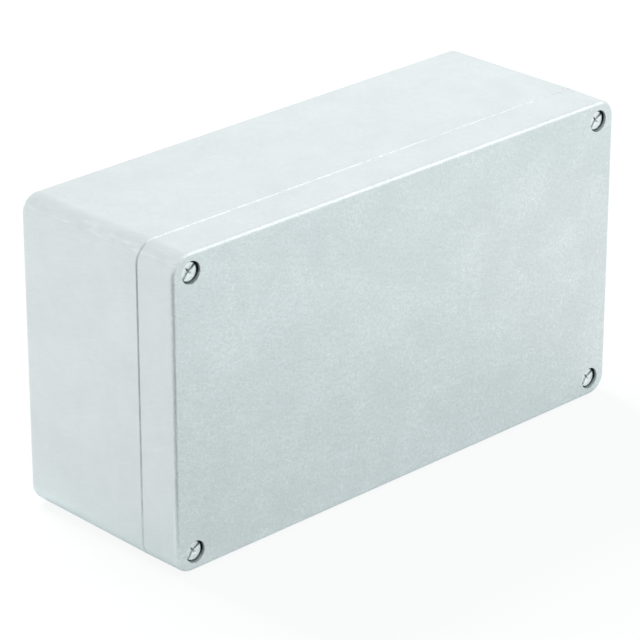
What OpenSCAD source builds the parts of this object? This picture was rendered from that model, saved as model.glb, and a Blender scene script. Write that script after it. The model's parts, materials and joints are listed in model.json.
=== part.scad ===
// Die cast aluminium case: a deep base, a shallow lid that seals on a gasket, four captive lid
// screws with combination recess heads, and an earth terminal in each half.
// The case stands on one long side, with the lid facing -Y and the back at +Y.

/* [Case] */
// Length of the closed case
case_length = 220; // [200:1:260]
// Height of the closed case, standing on its long side
case_height = 120; // [112:1:160]
// Depth of the closed case, from the back to the face of the lid
case_depth = 80; // [70:1:110]
// Depth of the lid, from its face to the parting line
lid_depth = 17.7; // [17.4:0.1:24]
// Radius of the four upright corners, at the parting line
corner_radius = 7.5; // [6.5:0.1:10]
// Wall thickness at the parting line
wall = 5.2; // [5.1:0.1:7]
// Thickness of the back of the base
back_thickness = 4.5; // [3.5:0.1:7]
// Thickness of the face of the lid
face_thickness = 4; // [3.5:0.1:5]
// Draft of every cast wall, in degrees
draft = 0.5; // [0.2:0.1:0.8]
// Radius around the edge of the back
back_edge_radius = 3; // [1:0.1:4]
// Radius around the edge of the lid face
face_edge_radius = 1.8; // [1:0.1:4]
// Bevel on the outer edge of both halves at the parting line
seam_bevel = 0.45; // [0.2:0.05:0.8]
// Radius where the inner walls meet the back and the face
inner_floor_radius = 2; // [1:0.1:2.4]

/* [Corner blocks] */
// Distance of the lid screws from the ends of the case
screw_inset_x = 8.75; // [8:0.05:9.5]
// Distance of the lid screws from the long sides of the case
screw_inset_y = 7.4; // [6.8:0.1:8]
// Distance of the wall holes from the ends of the case
wall_hole_inset_x = 8; // [7.8:0.1:9]
// Distance of the wall holes from the long sides of the case
wall_hole_inset_y = 19; // [18:0.5:22]
// Diameter of the wall holes through the back
wall_hole_diameter = 6.6; // [5:0.1:7]
// Diameter of the channels that take the heads of the wall screws
channel_diameter = 11; // [10:0.1:11.4]
// Thickness left under the head of a wall screw
channel_floor = 6; // [4:0.5:9]
// Depth of the pockets in the lid over the heads of the wall screws
lid_pocket_depth = 4; // [2:0.5:6]
// Radius of the inner edge of each corner block
block_edge_radius = 5.5; // [4.5:0.1:6]
// Radius of the corners of the hollow
hollow_corner_radius = 6; // [5:0.1:6.5]

/* [Seal] */
// Wall left between the hollow and the gasket groove
groove_lip = 1.2; // [1:0.05:1.3]
// Width of the gasket groove
groove_width = 2.6; // [2.2:0.1:2.7]
// Depth of the gasket groove
groove_depth = 3.4; // [3:0.1:5]
// Thickness of the gasket
gasket_thickness = 2; // [1.5:0.1:2.2]
// Width of the tongue on the base that presses into the gasket
tongue_width = 1.5; // [1:0.1:1.7]

/* [Lid screws] */
// Diameter of the screw thread
screw_diameter = 4; // [3.5:0.1:4.2]
// Diameter of the screw head
head_diameter = 7.2; // [6.6:0.1:7.6]
// Height of the screw head
head_height = 2.6; // [2.4:0.1:2.8]
// Radius around the top of the head
head_edge_radius = 0.5; // [0.2:0.1:0.8]
// Diameter of the counterbore in the lid
counterbore_diameter = 8.4; // [7.8:0.1:9.2]
// Depth of the top of the head below the face of the lid
head_sink = 1.2; // [0.8:0.1:1.8]
// Metal between the counterbore and the retainer bore
screw_web = 3; // [2:0.1:3.2]
// Travel of a lid screw before its retaining ring stops it
screw_travel = 9; // [7:0.5:9]
// Width of the driver slot across the head
slot_width = 1; // [0.8:0.1:1.3]
// Depth of the driver slot at the middle of the head
slot_depth = 1.2; // [0.8:0.1:1.5]
// Angle of the driver slots when the screws are tight
slot_angle = 40; // [0:5:180]
// Distance across the wings of the cross recess
cross_span = 3.5; // [2.8:0.1:4.4]
// Depth of the cross recess
cross_depth = 1.9; // [1.5:0.1:2.3]

/* [Inner bosses] */
// Distance of the plate bosses from the middle of the case, along its length
plate_boss_x = 80; // [60:1:80]
// Distance of the plate bosses from the middle of the case, along its height
plate_boss_y = 42; // [34:1:42]
// Distance of the rail bosses from the middle of the case
rail_boss_x = 70; // [40:1:75]
// Height of the bosses on the back
back_boss_height = 7; // [5:0.5:12]
// Height of the bosses on the inside of the lid
lid_boss_height = 5; // [3:0.5:6]

/* [Hidden] */

$fn = 64;
eps = 0.5;               // overshoot of a cut past the surface it opens
seat_gap = 0.05;         // play between faces that seat on each other
running_gap = 0.08;      // radial play of a pin or screw in its hole
axis_gap = 0.5;          // how far a swept corner stops short of its own axis
run_in = 0.0005;         // how far a wall line ends inside the arc it meets, so that they cross

// Levels, measured from the back of the case
base_depth = case_depth - lid_depth;
lid_rim = base_depth + seat_gap;
lid_inside = case_depth - face_thickness;
head_top = case_depth - head_sink;
head_seat = head_top - head_height;
web_bottom = head_seat - screw_web;
ring_thickness = 1;
ring_top = web_bottom - screw_travel;
screw_tip = base_depth - screw_travel + 2 * eps;

// The hollow is a plus: a long band between the corner blocks and a tall band between them
seal_land = 1.2;
block_wall = groove_lip + groove_width + seal_land;
long_x = case_length / 2 - wall;
tall_y = case_height / 2 - wall;
block_x = case_length / 2 - wall_hole_inset_x - channel_diameter / 2 - block_wall;
block_y = case_height / 2 - wall_hole_inset_y - channel_diameter / 2 - block_wall;

screw_x = case_length / 2 - screw_inset_x;
screw_y = case_height / 2 - screw_inset_y;
wall_hole_x = case_length / 2 - wall_hole_inset_x;
wall_hole_y = case_height / 2 - wall_hole_inset_y;

tongue_height = groove_depth - gasket_thickness - seat_gap;
ring_bore = head_diameter + 0.4;
ring_diameter = ring_bore - 2 * running_gap;
neck_diameter = screw_diameter - 0.9;
screw_hole = screw_diameter + 2 * running_gap;
screw_lead = 0.6;
screw_hole_depth = screw_travel + 6;
cross_tip = 1;
cross_wing = slot_width - 0.15;

boss_diameter = 9;
boss_hole = 3.3;

// Earth terminals
earth_x = 48;
earth_y = 30;
earth_boss_diameter = 13;
earth_screw_diameter = 5;
earth_screw_hole = earth_screw_diameter + 2 * running_gap;
earth_head_diameter = 8.5;
earth_head_height = 3.3;
clamp_size = 10.5;
clamp_thickness = 1.2;
clamp_lip = 1.4;
lock_washer_diameter = 8;
lock_washer_thickness = 1.2;

cast_colour = [0.78, 0.80, 0.80];
steel_colour = [0.80, 0.81, 0.82];
rubber_colour = [0.08, 0.08, 0.09];
nylon_colour = [0.90, 0.89, 0.84];
brass_colour = [0.80, 0.66, 0.36];

// ---- placing ----

// Stands the case on its long side: casting height becomes depth, towards the lid at -Y
module stand() {
    translate([0, case_depth / 2, case_height / 2]) rotate([90, 0, 0]) children();
}

module on_both_sides(axis) {
    children();
    mirror(axis) children();
}

module at_four_corners() {
    on_both_sides([1, 0, 0]) on_both_sides([0, 1, 0]) children();
}

// ---- wall sections and sweeps ----
// A section's x is the distance outside the line that it is swept along, its y the height.

// Sweeps a section along the outer line of the case
module sweep_case() {
    arc_x = case_length / 2 - corner_radius;
    arc_y = case_height / 2 - corner_radius;
    at_four_corners()
        translate([arc_x, arc_y, 0]) rotate_extrude(angle = 90) translate([corner_radius, 0]) children();
    on_both_sides([1, 0, 0])
        translate([case_length / 2, arc_y, 0]) rotate([90, 0, 0]) linear_extrude(2 * arc_y) children();
    on_both_sides([0, 1, 0])
        translate([-arc_x, case_height / 2, 0]) rotate([90, 0, 90]) linear_extrude(2 * arc_x) children();
}

// Sweeps a section along the line of the hollow, around the four corner blocks
module sweep_hollow() {
    convex = hollow_corner_radius;
    concave = block_edge_radius;
    at_four_corners() {
        translate([long_x - convex, block_y - convex, 0])
            rotate_extrude(angle = 90) translate([convex, 0]) children();
        translate([block_x + concave, block_y, 0]) rotate([90, 0, 90])
            linear_extrude(long_x - convex - block_x - concave) children();
        translate([block_x + concave, block_y + concave, 0]) rotate([0, 0, 180])
            rotate_extrude(angle = 90) translate([concave, 0]) mirror([1, 0]) children();
        translate([block_x, tall_y - convex, 0]) rotate([90, 0, 0])
            linear_extrude(tall_y - convex - block_y - concave) children();
        translate([block_x - convex, tall_y - convex, 0])
            rotate_extrude(angle = 90) translate([convex, 0]) children();
    }
    on_both_sides([1, 0, 0])
        translate([long_x, block_y - convex, 0]) rotate([90, 0, 0])
            linear_extrude(2 * (block_y - convex)) children();
    on_both_sides([0, 1, 0])
        translate([convex - block_x, tall_y, 0]) rotate([90, 0, 90])
            linear_extrude(2 * (block_x - convex)) children();
}

// Half section of a drafted wall that rises from an open end at y = 0 to a closed end at
// y = height, with a rounded edge there and a bevel at the open end
module drafted_section(reach, height, edge_radius, bevel) {
    lean = height * tan(draft);
    arc_x = -lean - edge_radius * (1 - sin(draft)) / cos(draft);
    arc_y = height - edge_radius;
    wall_end = edge_radius - run_in;
    union() {
        polygon([
            [-reach, 0],
            [-bevel, 0],
            [0, bevel],
            [arc_x + wall_end * cos(draft), arc_y + wall_end * sin(draft)],
            [arc_x, height],
            [-reach, height],
        ]);
        translate([arc_x, arc_y]) circle(edge_radius);
    }
}

// Outer body of one half, closed at the top, with its open end at z = 0
module outer_body(height, edge_radius) {
    reach = corner_radius - axis_gap;
    core = [case_length - 2 * reach, case_height - 2 * reach, height];
    sweep_case() drafted_section(reach, height, edge_radius, seam_bevel);
    translate([-core.x / 2, -core.y / 2, 0]) cube(core);
}

// The hollow of one half, open at z = 0 and closed at z = height
module hollow_body(height) {
    reach = hollow_corner_radius - axis_gap;
    overlap = inner_floor_radius + 1;
    long_band = [2 * (long_x - reach), 2 * (block_y - overlap), height + eps];
    tall_band = [2 * (block_x - overlap), 2 * (tall_y - reach), height + eps];
    sweep_hollow() {
        drafted_section(reach, height, inner_floor_radius, 0);
        translate([-reach, -eps]) square([reach, 2 * eps]);
    }
    for (band = [long_band, tall_band])
        translate([-band.x / 2, -band.y / 2, -eps]) cube(band);
}

// ---- castings ----

// Places its child on each plate boss, which take a mounting plate
module on_plate_bosses() {
    at_four_corners() translate([plate_boss_x, plate_boss_y, 0]) children();
}

// Places its child on each rail boss, which take a terminal rail
module on_rail_bosses() {
    on_both_sides([1, 0, 0]) translate([rail_boss_x, 0, 0]) children();
}

// Round boss that rises to the given height and reaches into the wall below z = 0
module boss(height, diameter) {
    translate([0, 0, -eps]) cylinder(h = height + eps, d = diameter);
}

// Blind tapped hole that opens at the given height
module tapped_hole(height, depth, diameter) {
    translate([0, 0, height - depth]) cylinder(h = depth + eps, d = diameter);
}

// Blind tapped hole with a lead-in, and the channel and hole for a wall screw
module corner_block_holes() {
    translate([screw_x, screw_y, 0]) tapped_hole(base_depth, screw_hole_depth, screw_hole);
    translate([screw_x, screw_y, base_depth - screw_lead])
        cylinder(h = screw_lead + eps, d1 = screw_hole, d2 = screw_hole + 2 * (screw_lead + eps));
    translate([wall_hole_x, wall_hole_y, channel_floor]) cylinder(h = base_depth, d = channel_diameter);
    translate([wall_hole_x, wall_hole_y, -eps]) cylinder(h = case_depth, d = wall_hole_diameter);
}

module base_casting() {
    color(cast_colour) stand() difference() {
        union() {
            translate([0, 0, base_depth]) mirror([0, 0, 1]) difference() {
                outer_body(base_depth, back_edge_radius);
                hollow_body(base_depth - back_thickness);
            }
            translate([0, 0, base_depth]) sweep_hollow()
                translate([groove_lip + (groove_width - tongue_width) / 2, -eps])
                    square([tongue_width, tongue_height + eps]);
            translate([0, 0, back_thickness]) {
                on_plate_bosses() boss(back_boss_height, boss_diameter);
                on_rail_bosses() boss(back_boss_height, boss_diameter);
                translate([earth_x, -earth_y, 0]) boss(back_boss_height, earth_boss_diameter);
            }
        }
        translate([0, 0, back_thickness]) {
            on_plate_bosses() tapped_hole(back_boss_height, back_boss_height + eps, boss_hole);
            on_rail_bosses() tapped_hole(back_boss_height, back_boss_height + eps, boss_hole);
            translate([earth_x, -earth_y, 0])
                tapped_hole(back_boss_height, back_boss_height + eps, earth_screw_hole);
        }
        at_four_corners() corner_block_holes();
    }
}

// Counterbore for a head, hole for its shank, bore for its retaining ring, and the pocket over
// a wall screw
module lid_corner_holes() {
    translate([screw_x, screw_y, head_seat]) cylinder(h = case_depth, d = counterbore_diameter);
    translate([screw_x, screw_y, 0]) cylinder(h = case_depth, d = screw_hole);
    translate([screw_x, screw_y, 0]) cylinder(h = web_bottom, d = ring_bore);
    translate([wall_hole_x, wall_hole_y, 0]) cylinder(h = lid_rim + lid_pocket_depth, d = channel_diameter);
}

module lid_casting() {
    color(cast_colour) stand() difference() {
        union() {
            translate([0, 0, lid_rim]) difference() {
                outer_body(case_depth - lid_rim, face_edge_radius);
                hollow_body(lid_inside - lid_rim);
                sweep_hollow() translate([groove_lip, -eps]) square([groove_width, groove_depth + eps]);
            }
            translate([0, 0, lid_inside]) mirror([0, 0, 1]) {
                on_plate_bosses() boss(lid_boss_height, boss_diameter);
                translate([earth_x, earth_y, 0]) boss(lid_boss_height, earth_boss_diameter);
            }
        }
        translate([0, 0, lid_inside]) mirror([0, 0, 1]) {
            on_plate_bosses() tapped_hole(lid_boss_height, lid_boss_height + eps, boss_hole);
            translate([earth_x, earth_y, 0])
                tapped_hole(lid_boss_height, lid_boss_height + eps, earth_screw_hole);
        }
        at_four_corners() lid_corner_holes();
    }
}

// ---- seal ----

module lid_gasket() {
    color(rubber_colour) stand() translate([0, 0, lid_rim + groove_depth - gasket_thickness])
        sweep_hollow() translate([groove_lip + seat_gap, 0])
            square([groove_width - 2 * seat_gap, gasket_thickness - seat_gap]);
}

// ---- lid screws ----

// Driver recess of a combination head: a slot all the way across and a tapered cross
module combination_recess() {
    translate([-head_diameter, -slot_width / 2, -slot_depth])
        cube([2 * head_diameter, slot_width, 2 * slot_depth]);
    intersection() {
        translate([0, 0, -cross_depth])
            cylinder(h = cross_depth, d1 = cross_tip, d2 = cross_span);
        for (turn = [0, 90]) rotate(turn) translate([-cross_span, -cross_wing / 2, -cross_depth])
            cube([2 * cross_span, cross_wing, 2 * cross_depth]);
    }
}

// Cheese head, rounded around its top, which lies at z = 0
module screw_head(diameter, height) {
    flat_radius = diameter / 2 - head_edge_radius;
    translate([0, 0, -height]) rotate_extrude() union() {
        square([flat_radius, height]);
        square([diameter / 2, height - head_edge_radius]);
        translate([flat_radius, height - head_edge_radius]) circle(head_edge_radius);
    }
}

module lid_screw(side_x, side_y) {
    point = 0.7;
    color(steel_colour) stand() translate([side_x * screw_x, side_y * screw_y, 0]) difference() {
        union() {
            translate([0, 0, head_top]) screw_head(head_diameter, head_height);
            translate([0, 0, screw_tip + point])
                cylinder(h = head_seat + eps - screw_tip - point, d = screw_diameter);
            translate([0, 0, screw_tip])
                cylinder(h = point, d1 = screw_diameter - 2 * point, d2 = screw_diameter);
        }
        translate([0, 0, head_top]) rotate(slot_angle) combination_recess();
        translate([0, 0, ring_top - ring_thickness - seat_gap]) difference() {
            cylinder(h = ring_thickness + 2 * seat_gap, d = screw_diameter + 2 * eps);
            translate([0, 0, -eps]) cylinder(h = ring_thickness + 2 * eps, d = neck_diameter);
        }
    }
}

module retaining_ring(side_x, side_y) {
    color(nylon_colour) stand()
        translate([side_x * screw_x, side_y * screw_y, ring_top - ring_thickness]) difference() {
            cylinder(h = ring_thickness, d = ring_diameter);
            translate([0, 0, -eps])
                cylinder(h = ring_thickness + 2 * eps, d = neck_diameter + 2 * running_gap);
        }
}

// ---- earth terminals ----

// Places a terminal piece on its boss in the base or in the lid, rising from z = 0
module on_earth_boss(in_lid) {
    if (in_lid)
        stand() translate([earth_x, earth_y, lid_inside - lid_boss_height]) mirror([0, 0, 1]) children();
    else
        stand() translate([earth_x, -earth_y, back_thickness + back_boss_height]) children();
}

// Square clamping plate with two turned edges that keep the conductor under the screw
module earth_clamp(in_lid) {
    color(brass_colour) on_earth_boss(in_lid) difference() {
        union() {
            translate([-clamp_size / 2, -clamp_size / 2, 0])
                cube([clamp_size, clamp_size, clamp_thickness]);
            on_both_sides([1, 0, 0]) translate([clamp_size / 2 - clamp_thickness, -clamp_size / 2, 0])
                cube([clamp_thickness, clamp_size, clamp_thickness + clamp_lip]);
        }
        translate([0, 0, -eps]) cylinder(h = case_depth, d = earth_screw_hole);
    }
}

// Spring washer, split at one side
module earth_lock_washer(in_lid) {
    split = 0.6;
    color(steel_colour) on_earth_boss(in_lid) translate([0, 0, clamp_thickness]) difference() {
        cylinder(h = lock_washer_thickness, d = lock_washer_diameter);
        translate([0, 0, -eps])
            cylinder(h = case_depth, d = earth_screw_hole);
        rotate(30) translate([0, -split / 2, -eps]) cube([lock_washer_diameter, split, case_depth]);
    }
}

module earth_screw(in_lid) {
    head_base = clamp_thickness + lock_washer_thickness;
    reach = (in_lid ? lid_boss_height : back_boss_height) - eps;
    color(brass_colour) on_earth_boss(in_lid) difference() {
        union() {
            translate([0, 0, head_base + earth_head_height])
                screw_head(earth_head_diameter, earth_head_height);
            translate([0, 0, -reach])
                cylinder(h = reach + head_base + eps, d = earth_screw_diameter);
        }
        translate([0, 0, head_base + earth_head_height]) rotate(slot_angle) combination_recess();
    }
}

base_casting();
lid_casting();
lid_gasket();
lid_screw(-1, 1);  // lid_screw_upper_left
lid_screw(1, 1);  // lid_screw_upper_right
lid_screw(-1, -1);  // lid_screw_lower_left
lid_screw(1, -1);  // lid_screw_lower_right
retaining_ring(-1, 1);  // retaining_ring_upper_left
retaining_ring(1, 1);  // retaining_ring_upper_right
retaining_ring(-1, -1);  // retaining_ring_lower_left
retaining_ring(1, -1);  // retaining_ring_lower_right
earth_screw(false);  // base_earth_screw
earth_lock_washer(false);  // base_earth_lock_washer
earth_clamp(false);  // base_earth_clamp
earth_screw(true);  // lid_earth_screw
earth_lock_washer(true);  // lid_earth_lock_washer
earth_clamp(true);  // lid_earth_clamp
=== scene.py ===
"""Looks of a die cast aluminium case: bare tumbled castings, bright captive lid screws with nylon
retaining rings, a black rubber gasket and brass earth terminals, on a plain white floor under soft
studio light."""

import json
import math

import bmesh
import bpy
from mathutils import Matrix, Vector


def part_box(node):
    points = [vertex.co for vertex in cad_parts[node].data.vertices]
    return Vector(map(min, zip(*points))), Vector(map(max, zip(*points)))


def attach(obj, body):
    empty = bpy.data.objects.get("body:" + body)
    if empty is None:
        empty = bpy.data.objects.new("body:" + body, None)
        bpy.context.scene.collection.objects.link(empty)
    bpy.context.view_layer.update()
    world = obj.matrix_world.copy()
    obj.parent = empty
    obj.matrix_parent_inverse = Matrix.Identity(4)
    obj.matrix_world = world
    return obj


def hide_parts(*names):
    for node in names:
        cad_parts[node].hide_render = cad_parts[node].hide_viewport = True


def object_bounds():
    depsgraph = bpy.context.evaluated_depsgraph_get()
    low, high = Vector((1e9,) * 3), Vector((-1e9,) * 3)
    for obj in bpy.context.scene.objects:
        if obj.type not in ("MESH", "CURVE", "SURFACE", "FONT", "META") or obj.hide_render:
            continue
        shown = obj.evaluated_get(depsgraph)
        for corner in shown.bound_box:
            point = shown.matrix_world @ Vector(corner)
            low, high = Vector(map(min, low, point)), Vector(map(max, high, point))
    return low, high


# Places on the case, in metres and in the coordinates of the frame
FACE_Y = -0.040  # the lid's face
HEAD_Y = -0.0388  # the tops of the lid screws' heads
SEAM_Y = -0.0223  # the parting line between lid and base
CASE_TOP = 0.120
CASE_MIDDLE = 0.060  # halfway between the upper and the lower screws
CASE_END = 0.110  # either end, from the middle
SCREW_X = 0.10125  # the axes of the lid screws, from the middle
SCREW_Z = 0.0526
COUNTERBORE_RADIUS = 0.0042
HEAD_RADIUS = 0.0036

# ---------------------------------------------------------------- frame

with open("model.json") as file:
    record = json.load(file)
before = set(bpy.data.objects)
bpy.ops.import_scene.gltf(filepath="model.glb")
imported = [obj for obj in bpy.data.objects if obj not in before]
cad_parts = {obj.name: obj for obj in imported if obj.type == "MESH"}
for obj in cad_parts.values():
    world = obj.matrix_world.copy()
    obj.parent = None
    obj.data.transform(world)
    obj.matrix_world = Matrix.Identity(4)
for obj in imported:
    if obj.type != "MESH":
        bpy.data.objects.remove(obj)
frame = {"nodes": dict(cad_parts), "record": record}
cad_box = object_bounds()
nodes = frame["nodes"]
scene = bpy.context.scene


# ---------------------------------------------------------------- shader building


def new_material(name):
    """An empty material with a Principled shader wired to its output."""
    material = bpy.data.materials.new(name)
    material.use_nodes = True
    tree = material.node_tree
    tree.nodes.clear()
    shader = tree.nodes.new("ShaderNodeBsdfPrincipled")
    output = tree.nodes.new("ShaderNodeOutputMaterial")
    tree.links.new(shader.outputs["BSDF"], output.inputs["Surface"])
    return material, tree, shader


def feed(tree, target, operand):
    """Gives an input a plain value, or a link from a socket."""
    if isinstance(operand, (int, float, tuple)):
        target.default_value = operand
    else:
        tree.links.new(operand, target)


def add(tree, kind, inputs=None, **settings):
    """Adds a node, sets its attributes and feeds its inputs."""
    node = tree.nodes.new(kind)
    for name, value in settings.items():
        setattr(node, name, value)
    for socket, operand in (inputs or {}).items():
        feed(tree, node.inputs[socket], operand)
    return node


def remap(tree, source, from_min, from_max, to_min=0.0, to_max=1.0):
    """Clamped linear remap of a value."""
    limits = {"From Min": from_min, "From Max": from_max, "To Min": to_min, "To Max": to_max}
    return add(tree, "ShaderNodeMapRange", {"Value": source, **limits}).outputs["Result"]


def math_node(tree, operation, first, second=0.0):
    """One Math node; each operand is a socket or a plain number."""
    return add(tree, "ShaderNodeMath", {0: first, 1: second}, operation=operation).outputs["Value"]


def times(tree, first, second):
    """Product of two values."""
    return math_node(tree, "MULTIPLY", first, second)


def mix_colour(tree, share, first, second):
    """Mixes a share of the second colour into the first; each is a socket or an RGBA tuple."""
    node = tree.nodes.new("ShaderNodeMix")
    node.data_type = "RGBA"
    for name, kind, operand in (("Factor", "VALUE", share), ("A", "RGBA", first), ("B", "RGBA", second)):
        target = next(s for s in node.inputs if s.name == name and s.type == kind and s.enabled)
        feed(tree, target, operand)
    return next(s for s in node.outputs if s.type == "RGBA")


def noise(tree, vector, scale, detail=2.0, roughness=0.5, distortion=0.0):
    """Height of a noise pattern, around 0.5."""
    inputs = {
        "Vector": vector,
        "Scale": scale,
        "Detail": detail,
        "Roughness": roughness,
        "Distortion": distortion,
    }
    return add(tree, "ShaderNodeTexNoise", inputs).outputs["Fac"]


def new_group(name, inputs, outputs):
    """A shader node group with float or vector sockets; returns it with its two ends."""
    group = bpy.data.node_groups.new(name, "ShaderNodeTree")
    kinds = {"float": "NodeSocketFloat", "vector": "NodeSocketVector"}
    for label, kind, value in inputs:
        socket = group.interface.new_socket(label, in_out="INPUT", socket_type=kinds[kind])
        if value is not None:
            socket.default_value = value
    for label, kind in outputs:
        group.interface.new_socket(label, in_out="OUTPUT", socket_type=kinds[kind])
    start = group.nodes.new("NodeGroupInput").outputs
    end = group.nodes.new("NodeGroupOutput").inputs
    return group, start, end


def place_group(tree, group, inputs):
    """Places a node group in a material, feeds its inputs and returns its outputs."""
    return add(tree, "ShaderNodeGroup", inputs, node_tree=group).outputs


def object_place(tree):
    """Coordinates in metres that stay with the piece."""
    return add(tree, "ShaderNodeTexCoord").outputs["Object"]


def split(tree, vector):
    """The X, Y and Z of a vector."""
    return add(tree, "ShaderNodeSeparateXYZ", {"Vector": vector}).outputs


# ---------------------------------------------------------------- shared effects


def make_blotches():
    """Soft cloudy patches at two sizes, 0 to 1, as tumbling leaves on bare metal."""
    group, start, end = new_group(
        "tumbled_blotches",
        [("Place", "vector", None), ("Patch Scale", "float", 20.0), ("Fleck Scale", "float", 160.0)],
        [("Patches", "float"), ("Flecks", "float")],
    )
    broad = noise(group, start["Place"], start["Patch Scale"], detail=4.0, roughness=0.62, distortion=0.4)
    fine = noise(group, start["Place"], start["Fleck Scale"], detail=3.0, roughness=0.6, distortion=0.2)
    group.links.new(remap(group, broad, 0.3, 0.7), end["Patches"])
    group.links.new(remap(group, fine, 0.34, 0.68), end["Flecks"])
    return group


def make_nicks():
    """Short nicks in three slanted families, and round speckles, both from 0 up to the amount."""
    group, start, end = new_group(
        "tumbling_nicks",
        [("Place", "vector", None), ("Scale", "float", 900.0), ("Amount", "float", 0.5)],
        [("Nicks", "float"), ("Speckles", "float")],
    )
    families = []
    for turn, stretch in ((0.6, 7.0), (-0.9, 5.0), (1.9, 9.0)):
        slanted = {
            "Vector": start["Place"],
            "Rotation": (turn, turn * 0.7, turn * 1.3),
            "Scale": (1.0, 1.0 / stretch, 1.0),
        }
        turned = add(group, "ShaderNodeMapping", slanted).outputs["Vector"]
        families.append(remap(group, noise(group, turned, start["Scale"]), 0.645, 0.71))
    strongest = math_node(group, "MAXIMUM", families[0], families[1])
    strongest = math_node(group, "MAXIMUM", strongest, families[2])
    group.links.new(times(group, strongest, start["Amount"]), end["Nicks"])
    dots = noise(group, start["Place"], times(group, start["Scale"], 1.6), detail=1.0)
    dots = remap(group, dots, 0.655, 0.73)
    group.links.new(times(group, dots, start["Amount"]), end["Speckles"])
    return group


def make_streaks():
    """Fine rubbed streaks that run along the given direction, 0 to 1."""
    group, start, end = new_group(
        "rubbed_streaks",
        [("Place", "vector", None), ("Direction", "vector", (1.0, 0.0, 0.0)), ("Scale", "float", 1500.0)],
        [("Streaks", "float")],
    )
    place = start["Place"]
    direction = start["Direction"]
    squeeze = 0.88  # share of the way along the direction that is taken out, which draws the noise out
    dot = add(group, "ShaderNodeVectorMath", {0: place, 1: direction}, operation="DOT_PRODUCT")
    taken = {0: direction, "Scale": times(group, dot.outputs["Value"], squeeze)}
    taken = add(group, "ShaderNodeVectorMath", taken, operation="SCALE").outputs["Vector"]
    kept = add(group, "ShaderNodeVectorMath", {0: place, 1: taken}, operation="SUBTRACT").outputs["Vector"]
    field = noise(group, kept, start["Scale"], roughness=0.6, distortion=0.6)
    group.links.new(remap(group, field, 0.5, 0.8), end["Streaks"])
    return group


def make_screw_distance():
    """Distance in metres from the axis of the nearest lid screw, and the way across and above it."""
    group, start, end = new_group(
        "lid_screw_distance",
        [("Place", "vector", None)],
        [("Distance", "float"), ("Across", "float"), ("Above", "float")],
    )
    place = split(group, start["Place"])
    squares = []
    for axis, middle, reach, output in (
        ("X", 0.0, SCREW_X, "Across"),
        ("Z", CASE_MIDDLE, SCREW_Z, "Above"),
    ):
        from_middle = math_node(group, "SUBTRACT", place[axis], middle)
        offset = math_node(group, "SUBTRACT", math_node(group, "ABSOLUTE", from_middle), reach)
        squares.append(times(group, offset, offset))
        side = math_node(group, "SIGN", from_middle)
        group.links.new(times(group, offset, side), end[output])
    total = math_node(group, "ADD", squares[0], squares[1])
    group.links.new(math_node(group, "SQRT", total), end["Distance"])
    return group


def make_skin():
    """Normal of a finely uneven skin: a soft wave, a grain and sunk marks. Depths are in metres."""
    group, start, end = new_group(
        "cast_skin",
        [
            ("Place", "vector", None),
            ("Wave Scale", "float", 60.0),
            ("Grain Scale", "float", 900.0),
            ("Wave Depth", "float", 0.00006),
            ("Grain Depth", "float", 0.000012),
            ("Marks", "float", 0.0),
            ("Mark Depth", "float", 0.00001),
        ],
        [("Normal", "vector")],
    )
    wave = noise(group, start["Place"], start["Wave Scale"])
    grain = noise(group, start["Place"], start["Grain Scale"], detail=3.0, roughness=0.65)
    height = times(group, wave, start["Wave Depth"])
    height = math_node(group, "ADD", height, times(group, grain, start["Grain Depth"]))
    height = math_node(group, "SUBTRACT", height, times(group, start["Marks"], start["Mark Depth"]))
    bump = add(group, "ShaderNodeBump", {"Strength": 1.0, "Distance": 1.0, "Height": height})
    group.links.new(bump.outputs["Normal"], end["Normal"])
    return group


blotches = make_blotches()
nicks = make_nicks()
streaks = make_streaks()
screw_distance = make_screw_distance()
skin = make_skin()


# ---------------------------------------------------------------- bare castings

# Colours on the castings, from the metal itself to its marks, and the painted shade of its seam and
# hollows
PATCH_DARK = (0.692, 0.743, 0.748, 1)
PATCH_LIGHT = (0.730, 0.780, 0.785, 1)
HAZE = (0.625, 0.69, 0.697, 1)
FLECK = (0.87, 0.935, 0.94, 1)
RUBBED = (0.85, 0.93, 0.935, 1)
GRAIN = (0.595, 0.65, 0.655, 1)
SPECK = (0.90, 0.98, 0.985, 1)
SCUFFED = (0.57, 0.625, 0.63, 1)
WORN_BRIGHT = (0.88, 0.94, 0.94, 1)
# painted shade of the gap along the parting line
PAINTED_SEAM_SHADE = (0.36, 0.39, 0.40, 1)
# painted shade in the counterbores round the lid screws
PAINTED_HOLLOW_SHADE = (0.02, 0.022, 0.024, 1)

SEAM_REACH = 0.0007  # how far the painted shade of the seam reaches to each side of the parting line


def band(tree, value, start, full, end):
    """Rises from 0 at start to 1 at full and back to 0 at end, for a value in metres."""
    rise = remap(tree, value, start, full)
    fall = remap(tree, value, full, end, 1.0, 0.0)
    return math_node(tree, "MINIMUM", rise, fall)


def from_sides_to_face(tree, face, on_sides, on_face):
    """One value on the sides and another on the lid's face."""
    return remap(tree, face, 0.0, 1.0, on_sides, on_face)


def on_rounds(tree):
    """1 on the rounds between faces and 0 on the flats."""
    facing = add(tree, "ShaderNodeTexCoord").outputs["Normal"]
    facing = add(tree, "ShaderNodeVectorMath", {0: facing}, operation="ABSOLUTE").outputs["Vector"]
    sides = split(tree, facing)
    most = math_node(tree, "MAXIMUM", math_node(tree, "MAXIMUM", sides["X"], sides["Y"]), sides["Z"])
    return remap(tree, most, 0.985, 0.85)


def streaks_along(tree, place, direction, scale):
    """Rubbed streaks along one direction of the case."""
    return place_group(tree, streaks, {"Place": place, "Direction": direction, "Scale": scale})["Streaks"]


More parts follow.
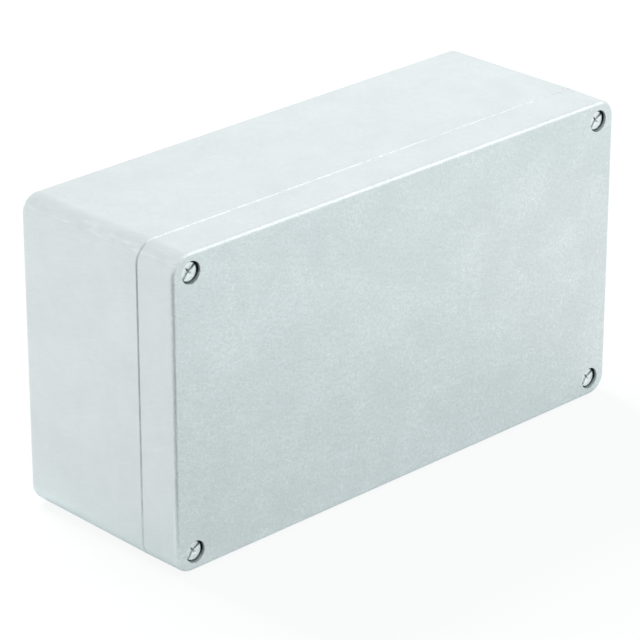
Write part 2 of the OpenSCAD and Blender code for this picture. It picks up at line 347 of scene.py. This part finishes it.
def rubbed_streaks(tree, place, face):
    """Short rubbed streaks: slanted ones, strongest on the lid's face, and some along the sides' depth."""
    slanted = streaks_along(tree, place, (0.91, 0.0, -0.41), 900.0)
    slanted = times(tree, slanted, from_sides_to_face(tree, face, 0.2, 0.5))
    on_sides = streaks_along(tree, place, (0.0, 0.966, -0.26), 950.0)
    on_sides = times(tree, on_sides, from_sides_to_face(tree, face, 0.35, 0.0))
    return math_node(tree, "MAXIMUM", slanted, on_sides)


def tumbled_colour(tree, place, face, cloud, broad, marks, rubbed):
    """Cloudy metal with haze, light flecks, rubbed streaks, dark grain and clusters of specks."""
    frosted = remap(tree, cloud["Patches"], 0.3, 0.9, 0.55, 1.0)
    colour = mix_colour(tree, cloud["Patches"], PATCH_DARK, PATCH_LIGHT)
    haze = times(tree, broad["Patches"], from_sides_to_face(tree, face, 0.25, 0.5))
    colour = mix_colour(tree, haze, colour, HAZE)
    flecks = times(tree, cloud["Flecks"], from_sides_to_face(tree, face, 0.12, 0.75))
    colour = mix_colour(tree, times(tree, flecks, frosted), colour, FLECK)
    colour = mix_colour(tree, times(tree, rubbed, 0.4), colour, RUBBED)
    grain = place_group(tree, blotches, {"Place": place, "Fleck Scale": 1150.0})["Flecks"]
    grain = times(tree, grain, from_sides_to_face(tree, face, 0.0, 0.42))
    colour = mix_colour(tree, grain, colour, GRAIN)
    clusters = times(tree, frosted, remap(tree, broad["Flecks"], 0.3, 0.8, 0.3, 1.0))
    clusters = times(tree, clusters, from_sides_to_face(tree, face, 0.12, 1.0))
    specks = math_node(tree, "MAXIMUM", marks["Speckles"], times(tree, marks["Nicks"], 0.6))
    return mix_colour(tree, times(tree, specks, clusters), colour, SPECK)


def scuff_rounds(tree, place, colour, broad):
    """Rounds between faces, scuffed in places and worn bright in streaks along the depth."""
    rounds = on_rounds(tree)
    scuffed = times(tree, rounds, broad["Flecks"])
    colour = mix_colour(tree, times(tree, scuffed, 0.24), colour, SCUFFED)
    worn = times(tree, rounds, streaks_along(tree, place, (0.0, 1.0, 0.0), 650.0))
    return mix_colour(tree, times(tree, worn, 0.5), colour, WORN_BRIGHT)


def paint_seam_shade(tree, axes, colour, broad):
    """Parting line: painted shade of its gap, uneven all round, but along the top the shade fades out
    towards the left end, where the seam stays bright.
    """
    seam = band(tree, axes["Y"], SEAM_Y - SEAM_REACH, SEAM_Y, SEAM_Y + SEAM_REACH)
    top = remap(tree, axes["Z"], CASE_TOP - 0.0010, CASE_TOP - 0.0004)
    change = times(tree, top, remap(tree, axes["X"], -CASE_END, CASE_END, -0.42, 0.05))
    seam_shade_share = math_node(tree, "ADD", remap(tree, broad["Flecks"], 0.0, 1.0, 0.3, 0.6), change)
    return mix_colour(tree, times(tree, seam, seam_shade_share), colour, PAINTED_SEAM_SHADE)


def paint_counterbore_shade(tree, place, depth, colour):
    """Counterbores of the lid screws: painted shade below the face, fading out towards their lowest side,
    which faces up to the light.
    """
    from_screw = place_group(tree, screw_distance, {"Place": place})
    wall_reach = remap(
        tree, from_screw["Distance"], COUNTERBORE_RADIUS + 0.00025, COUNTERBORE_RADIUS + 0.0001
    )
    below_face = band(tree, depth, FACE_Y + 0.0005, FACE_Y + 0.0013, FACE_Y + 0.0050)
    shade = times(tree, wall_reach, below_face)
    shade = times(tree, shade, remap(tree, from_screw["Above"], -0.0037, -0.0008, 0.0, 0.97))
    return mix_colour(tree, shade, colour, PAINTED_HOLLOW_SHADE)


def cast_aluminium():
    """Bare die casting, tumbled: pale satin metal with cloudy patches, flecks and short rubbed streaks
    that are strongest on the lid's face, scuffed rounds, and painted shade in the counterbores and along
    the seam."""
    material, tree, shader = new_material("cast_aluminium")
    place = object_place(tree)
    axes = split(tree, place)
    face = remap(tree, axes["Y"], FACE_Y + 0.0006, FACE_Y + 0.0001)
    cloud = place_group(tree, blotches, {"Place": place, "Patch Scale": 60.0, "Fleck Scale": 650.0})
    broad = place_group(tree, blotches, {"Place": place, "Patch Scale": 17.0, "Fleck Scale": 150.0})
    marks = place_group(tree, nicks, {"Place": place, "Scale": 700.0, "Amount": 0.8})
    rubbed = rubbed_streaks(tree, place, face)

    colour = tumbled_colour(tree, place, face, cloud, broad, marks, rubbed)
    colour = scuff_rounds(tree, place, colour, broad)
    colour = paint_seam_shade(tree, axes, colour, broad)
    colour = paint_counterbore_shade(tree, place, axes["Y"], colour)
    tree.links.new(colour, shader.inputs["Base Color"])

    roughness = remap(tree, cloud["Flecks"], 0.0, 1.0, 0.46, 0.56)
    roughness = math_node(tree, "SUBTRACT", roughness, times(tree, rubbed, 0.08))
    tree.links.new(roughness, shader.inputs["Roughness"])
    shader.inputs["Metallic"].default_value = 1.0

    dents = math_node(tree, "MAXIMUM", rubbed, marks["Nicks"])
    uneven = {
        "Place": place,
        "Wave Scale": 300.0,
        "Grain Scale": 900.0,
        "Wave Depth": from_sides_to_face(tree, face, 0.00011, 0.0002),
        "Grain Depth": from_sides_to_face(tree, face, 0.00005, 0.00011),
        "Marks": times(tree, dents, from_sides_to_face(tree, face, 1.0, 3.0)),
        "Mark Depth": 0.00003,
    }
    tree.links.new(place_group(tree, skin, uneven)["Normal"], shader.inputs["Normal"])
    return material


# ---------------------------------------------------------------- fasteners, rubber and nylon

# painted shade in the slots and crosses of the lid screws
PAINTED_RECESS_SHADE = (0.03, 0.03, 0.032, 1)


def paint_recess_shade(tree, place, colour):
    """Painted shade at the bottom of a lid screw's slot and cross, most of all to its upper right."""
    from_axis = place_group(tree, screw_distance, {"Place": place})
    inside = remap(tree, from_axis["Distance"], HEAD_RADIUS - 0.0002, HEAD_RADIUS - 0.0006)
    deep = band(tree, split(tree, place)["Y"], HEAD_Y + 0.0005, HEAD_Y + 0.0016, HEAD_Y + 0.003)
    upper_right = math_node(tree, "ADD", from_axis["Across"], from_axis["Above"])
    recess = times(tree, times(tree, inside, deep), remap(tree, upper_right, -0.0016, 0.0006, 0.2, 0.85))
    return mix_colour(tree, recess, colour, PAINTED_RECESS_SHADE)


def machined_metal(name, dark, light, roughness, grain_depth, in_lid=False):
    """Machined metal of a fastener, faintly cloudy with fine nicks; a lid screw has painted shade in its
    recess.
    """
    material, tree, shader = new_material(name)
    place = object_place(tree)
    cloud = place_group(tree, blotches, {"Place": place, "Patch Scale": 300.0, "Fleck Scale": 2400.0})
    marks = place_group(tree, nicks, {"Place": place, "Scale": 4000.0, "Amount": 0.7})
    colour = mix_colour(tree, cloud["Patches"], dark, light)
    if in_lid:
        colour = paint_recess_shade(tree, place, colour)
    tree.links.new(colour, shader.inputs["Base Color"])
    rough = remap(tree, cloud["Flecks"], 0.0, 1.0, roughness - 0.05, roughness + 0.07)
    tree.links.new(rough, shader.inputs["Roughness"])
    shader.inputs["Metallic"].default_value = 1.0
    uneven = {
        "Place": place,
        "Wave Scale": 500.0,
        "Grain Scale": 5000.0,
        "Wave Depth": 0.00001,
        "Grain Depth": grain_depth,
        "Marks": marks["Nicks"],
        "Mark Depth": grain_depth,
    }
    tree.links.new(place_group(tree, skin, uneven)["Normal"], shader.inputs["Normal"])
    return material


def dull_solid(name, dark, light, roughness, grain_scale, grain_depth):
    """Rubber or nylon: a dull body colour, slightly uneven, with a fine grain."""
    material, tree, shader = new_material(name)
    place = object_place(tree)
    cloud = place_group(
        tree, blotches, {"Place": place, "Patch Scale": 120.0, "Fleck Scale": grain_scale}
    )
    tree.links.new(mix_colour(tree, cloud["Patches"], dark, light), shader.inputs["Base Color"])
    rough = remap(tree, cloud["Flecks"], 0.0, 1.0, roughness - 0.08, roughness + 0.08)
    tree.links.new(rough, shader.inputs["Roughness"])
    uneven = {
        "Place": place,
        "Wave Scale": 400.0,
        "Grain Scale": grain_scale,
        "Wave Depth": 0.00002,
        "Grain Depth": grain_depth,
    }
    tree.links.new(place_group(tree, skin, uneven)["Normal"], shader.inputs["Normal"])
    return material


finishes = {
    "cast_aluminium": cast_aluminium(),
    "screw_steel": machined_metal(
        "screw_steel", (0.79, 0.85, 0.855, 1), (0.89, 0.94, 0.945, 1), 0.40, 0.000004, in_lid=True
    ),
    "brass": machined_metal("brass", (0.62, 0.47, 0.20, 1), (0.74, 0.58, 0.28, 1), 0.28, 0.000004),
    "gasket_rubber": dull_solid(
        "gasket_rubber", (0.018, 0.018, 0.02, 1), (0.035, 0.035, 0.038, 1), 0.75, 2600.0, 0.00002
    ),
    "nylon": dull_solid("nylon", (0.72, 0.70, 0.62, 1), (0.80, 0.78, 0.71, 1), 0.45, 1500.0, 0.000004),
}


def dress_nodes():
    """Gives every solid of the frame the finish of its slot in the record."""
    for part in frame["record"]["subparts"]:
        piece = nodes[part["node"]]
        piece.data.materials.clear()
        piece.data.materials.append(finishes[part["material_slot"]])


dress_nodes()

# ---------------------------------------------------------------- screw threads

THREAD_RADIUS = 0.002
THREAD_ROOT = 0.00163
THREAD_PITCH = 0.0007
THREAD_ROWS = 8  # rows of points in one pitch
THREAD_COLUMNS = 32  # columns of points round the screw
CREST_HALF = 1 / 16  # half of the flat crest, in pitches
FLANK = 5 / 16  # one flank, in pitches
NECK_RADIUS = 0.00155
NECK_PLAY = 0.00005
POINT_LENGTH = 0.0007
OVERLAP = 0.0004  # how far the threaded end reaches up into the plain shank
SHARP_ANGLE = math.radians(32.0)
SHANK_WELD = 1e-6  # points of one mesh that are this close become one
THREAD_WELD = 1e-7


def thread_height(turns):
    """Height of the thread at a place along it in turns: 1 on the crest and 0 at the root."""
    from_crest = abs(turns - round(turns))
    return 1.0 - min(max((from_crest - CREST_HALF) / FLANK, 0.0), 1.0)


def threaded_end(mesh, axis, neck_start, neck_end, tip):
    """Neck for the retaining ring, right-hand thread and chamfered point, as one shell."""
    step = THREAD_PITCH / THREAD_ROWS
    rows = math.ceil((tip - neck_end) / step) + THREAD_ROWS
    columns = []
    for column in range(THREAD_COLUMNS):
        turn = column / THREAD_COLUMNS
        out = Vector((math.cos(math.tau * turn), 0.0, math.sin(math.tau * turn)))
        line = [(neck_start, NECK_RADIUS), (neck_end, NECK_RADIUS)]
        for row in range(rows + 1):
            y = min(max(neck_end + row * step - THREAD_PITCH * turn, neck_end), tip)
            run_out = min((y - neck_end) / (THREAD_PITCH / 2), 1.0)
            height = thread_height(row / THREAD_ROWS) * run_out
            radius = THREAD_ROOT + (THREAD_RADIUS - THREAD_ROOT) * height
            line.append((y, min(radius, THREAD_RADIUS - POINT_LENGTH + tip - y)))
        columns.append([mesh.verts.new(axis + radius * out + Vector((0, y, 0))) for y, radius in line])
    for column, line in enumerate(columns):
        beside = columns[(column + 1) % THREAD_COLUMNS]
        if column + 1 == THREAD_COLUMNS:
            # A full turn shifts the rows by one pitch, so this column meets rows one pitch back
            first = [beside[2]] * THREAD_ROWS
            beside = beside[:2] + first + beside[2:]
        for row in range(len(line) - 1):
            corners = [line[row], line[row + 1], beside[row + 1]]
            if beside[row] is not beside[row + 1]:
                corners.append(beside[row])
            mesh.faces.new(corners)
    bmesh.ops.remove_doubles(mesh, verts=mesh.verts, dist=THREAD_WELD)


def close_ends(mesh):
    """Fills the open rims of a shell and turns its faces outwards."""
    rims = [edge for edge in mesh.edges if edge.is_boundary]
    bmesh.ops.holes_fill(mesh, edges=rims, sides=0)
    bmesh.ops.recalc_face_normals(mesh, faces=mesh.faces)


def plain_shank(node, cut):
    """Head and shank of a lid screw of the frame, cut off and closed where its neck starts."""
    shank = bmesh.new()
    shank.from_mesh(nodes[node].data)
    bmesh.ops.remove_doubles(shank, verts=shank.verts, dist=SHANK_WELD)
    bmesh.ops.bisect_plane(
        shank,
        geom=shank.verts[:] + shank.edges[:] + shank.faces[:],
        plane_co=(0, cut, 0),
        plane_no=(0, 1, 0),
        clear_outer=True,
    )
    close_ends(shank)
    return shank


def threaded_screw(corner):
    """Lid screw with its head and plain shank from the frame, and a real thread below its neck."""
    node = "lid_screw_" + corner
    low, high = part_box(node)
    ring_low, ring_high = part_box("retaining_ring_" + corner)
    axis = Vector(((low[0] + high[0]) / 2, 0.0, (low[2] + high[2]) / 2))
    neck_start = ring_low[1] - NECK_PLAY
    shank = plain_shank(node, neck_start - NECK_PLAY / 5)
    end = bmesh.new()
    threaded_end(end, axis, neck_start - OVERLAP, ring_high[1] + NECK_PLAY, high[1])
    close_ends(end)
    part = bpy.data.meshes.new("end")
    end.to_mesh(part)
    shank.from_mesh(part)
    bpy.data.meshes.remove(part)
    mesh = bpy.data.meshes.new("threaded_screw_" + corner)
    shank.to_mesh(mesh)
    shank.free()
    end.free()
    mesh.shade_smooth()
    mesh.set_sharp_from_angle(angle=SHARP_ANGLE)
    screw = bpy.data.objects.new("threaded_screw_" + corner, mesh)
    flats = screw.modifiers.new("flats", "WEIGHTED_NORMAL")
    flats.weight = 80
    flats.keep_sharp = True
    mesh.materials.append(finishes["screw_steel"])
    scene.collection.objects.link(screw)
    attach(screw, "screw_" + corner)
    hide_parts(node)


for corner in ("upper_left", "upper_right", "lower_left", "lower_right"):
    threaded_screw(corner)

# ---------------------------------------------------------------- camera


def plain_camera():
    """Camera with a long lens, looking down on the case past its lower left corner."""
    look_down, look_right = 24.33, 43.90
    data = bpy.data.cameras.new("camera")
    data.sensor_width = 36.0
    data.lens = 195.4
    camera = bpy.data.objects.new("camera", data)
    camera.location = (-0.8062, -0.8345, 0.5752)
    camera.rotation_euler = (math.radians(90.0 - look_down), 0.0, math.radians(-look_right))
    scene.collection.objects.link(camera)
    scene.camera = camera


plain_camera()

# ---------------------------------------------------------------- floor and light

FLOOR_GAP = 0.0002  # the floor lies this far below the case and the cards
FLOOR_HALF = 4.0
FLOOR_WHITE = 0.88  # share of the floor that glows to the camera; the rest takes light and shadow
FLOOR_IN_METAL = 0.47  # the same share in reflections
ROOM_LIGHT = 0.6  # what the white room gives to dull surfaces


def sheet_outline(left, right, front, back):
    """Corners of a sheet on the ground."""
    return ((left, front), (right, front), (right, back), (left, back))


def flat_stage(name, outline, height):
    """A flat sheet of the studio at a height, from its corners on the ground."""
    mesh = bpy.data.meshes.new(name)
    mesh.from_pydata([(x, y, 0.0) for x, y in outline], [], [tuple(range(len(outline)))])
    sheet = bpy.data.objects.new(name, mesh)
    sheet.location.z = height
    scene.collection.objects.link(sheet)
    return sheet


def seen_share(tree, by_camera, in_metal):
    """One share for camera rays, one for glossy and transmission rays, and 0 for the rest."""
    rays = add(tree, "ShaderNodeLightPath").outputs
    mirrored = math_node(tree, "MAXIMUM", rays["Is Glossy Ray"], rays["Is Transmission Ray"])
    direct = times(tree, rays["Is Camera Ray"], by_camera)
    return math_node(tree, "MAXIMUM", direct, times(tree, mirrored, in_metal))


def white_floor():
    """Large white floor that keeps a soft shadow of the case."""
    outline = sheet_outline(-FLOOR_HALF, FLOOR_HALF, -FLOOR_HALF, FLOOR_HALF)
    floor = flat_stage("floor", outline, cad_box[0].z - FLOOR_GAP)
    material = bpy.data.materials.new("white_floor")
    material.use_nodes = True
    tree = material.node_tree
    tree.nodes.clear()
    glow = add(tree, "ShaderNodeEmission", {"Color": (1, 1, 1, 1), "Strength": 1.0})
    paper = add(tree, "ShaderNodeBsdfDiffuse", {"Color": (0.84, 0.93, 0.94, 1)})
    share = seen_share(tree, FLOOR_WHITE, FLOOR_IN_METAL)
    sides = {1: paper.outputs["BSDF"], 2: glow.outputs["Emission"]}
    mixed = add(tree, "ShaderNodeMixShader", {0: share, **sides})
    add(tree, "ShaderNodeOutputMaterial", {"Surface": mixed.outputs["Shader"]})
    floor.data.materials.append(material)


def floor_card(name, outline, shade):
    """Card laid on the floor that shows only in metal, so that the rounds and sides have contrast."""
    card = flat_stage(name, outline, cad_box[0].z)
    card.visible_camera = False
    card.visible_diffuse = False
    card.visible_shadow = False
    material, tree, shader = new_material(name)
    shader.inputs["Base Color"].default_value = (shade, shade, shade, 1)
    shader.inputs["Roughness"].default_value = 0.9
    card.data.materials.append(material)


def lay_cards():
    """A dark wedge before the nearest corner, a grey sheet beside the left end and a pale one past the
    lower right corner."""
    corner = Vector((cad_box[0].x, cad_box[0].y))
    away, spread = math.radians(180.0 + 54.0), math.radians(27.0)
    near, far = 0.030, 1.2
    wedge = []
    for reach, turn in ((near, -spread), (far, -spread), (far, spread), (near, spread)):
        angle = away + turn
        wedge.append(tuple(corner + reach * Vector((math.cos(angle), math.sin(angle)))))
    floor_card("dark_card", wedge, 0.18)
    left, front = cad_box[0].x - 0.01, cad_box[0].y + 0.01
    floor_card("grey_card", sheet_outline(left - 0.8, left, front, front + 0.9), 0.75)
    right, front = cad_box[1].x + 0.005, cad_box[0].y - 0.005
    floor_card("right_card", sheet_outline(right, right + 0.19, front - 0.2, front), 0.8)


def soft_lamp(name, place, aim, size, power, in_metal=True):
    """Soft box aimed at a point; without in_metal it lights the floor and isn't mirrored."""
    data = bpy.data.lights.new(name, "AREA")
    data.shape = "RECTANGLE"
    data.size, data.size_y = size
    data.energy = power
    lamp = bpy.data.objects.new(name, data)
    lamp.location = place
    lamp.rotation_euler = (Vector(aim) - Vector(place)).to_track_quat("-Z", "Y").to_euler()
    lamp.visible_glossy = in_metal
    scene.collection.objects.link(lamp)


def white_room():
    """World that is white to the camera and in metal, and lights dull surfaces softly."""
    world = bpy.data.worlds.new("studio")
    scene.world = world
    world.use_nodes = True
    tree = world.node_tree
    tree.nodes.clear()
    strength = remap(tree, seen_share(tree, 1.0, 1.0), 0.0, 1.0, ROOM_LIGHT, 1.0)
    background = add(tree, "ShaderNodeBackground", {"Color": (1, 1, 1, 1), "Strength": strength})
    add(tree, "ShaderNodeOutputWorld", {"Surface": background.outputs["Background"]})


white_floor()
lay_cards()
white_room()
soft_lamp("floor_light", (0.08, 1.50, 1.60), (0, 0, CASE_MIDDLE), (1.0, 1.0), 45.0, in_metal=False)
soft_lamp("edge_light", (0.66, -0.47, 0.83), (0, 0, CASE_MIDDLE), (0.45, 0.45), 1.35)
soft_lamp("top_light", (0.95, 0.80, 0.66), (0, 0, CASE_TOP), (0.8, 0.6), 0.5)

scene.view_settings.view_transform = "Standard"
